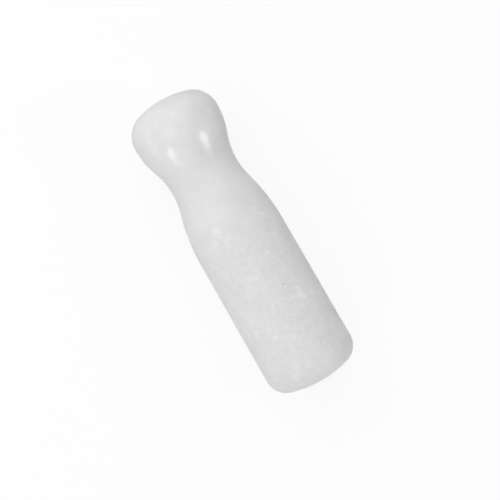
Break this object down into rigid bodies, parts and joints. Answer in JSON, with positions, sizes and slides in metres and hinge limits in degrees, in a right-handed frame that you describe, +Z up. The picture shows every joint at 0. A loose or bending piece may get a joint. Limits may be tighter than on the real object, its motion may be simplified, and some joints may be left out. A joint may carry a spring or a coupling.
{
  "type": "stone pestle",
  "caption": "Turned white marble pestle with a domed knob, a drawn-in neck for the hand, and a slightly flared body with a domed grinding face.",
  "frame": {"origin": "on the surface that the pestle lies on, below the middle of its length", "axes": "+X along the pestle's axis towards the grinding face, +Z up from the surface it lies on"},
  "size_m": [0.128, 0.038, 0.038],
  "materials": {
    "marble": "polished on the knob, honed on the neck, body and grinding face"
  },
  "bodies": {
    "root": {"pestle": "marble"}
  },
  "joints": []
}
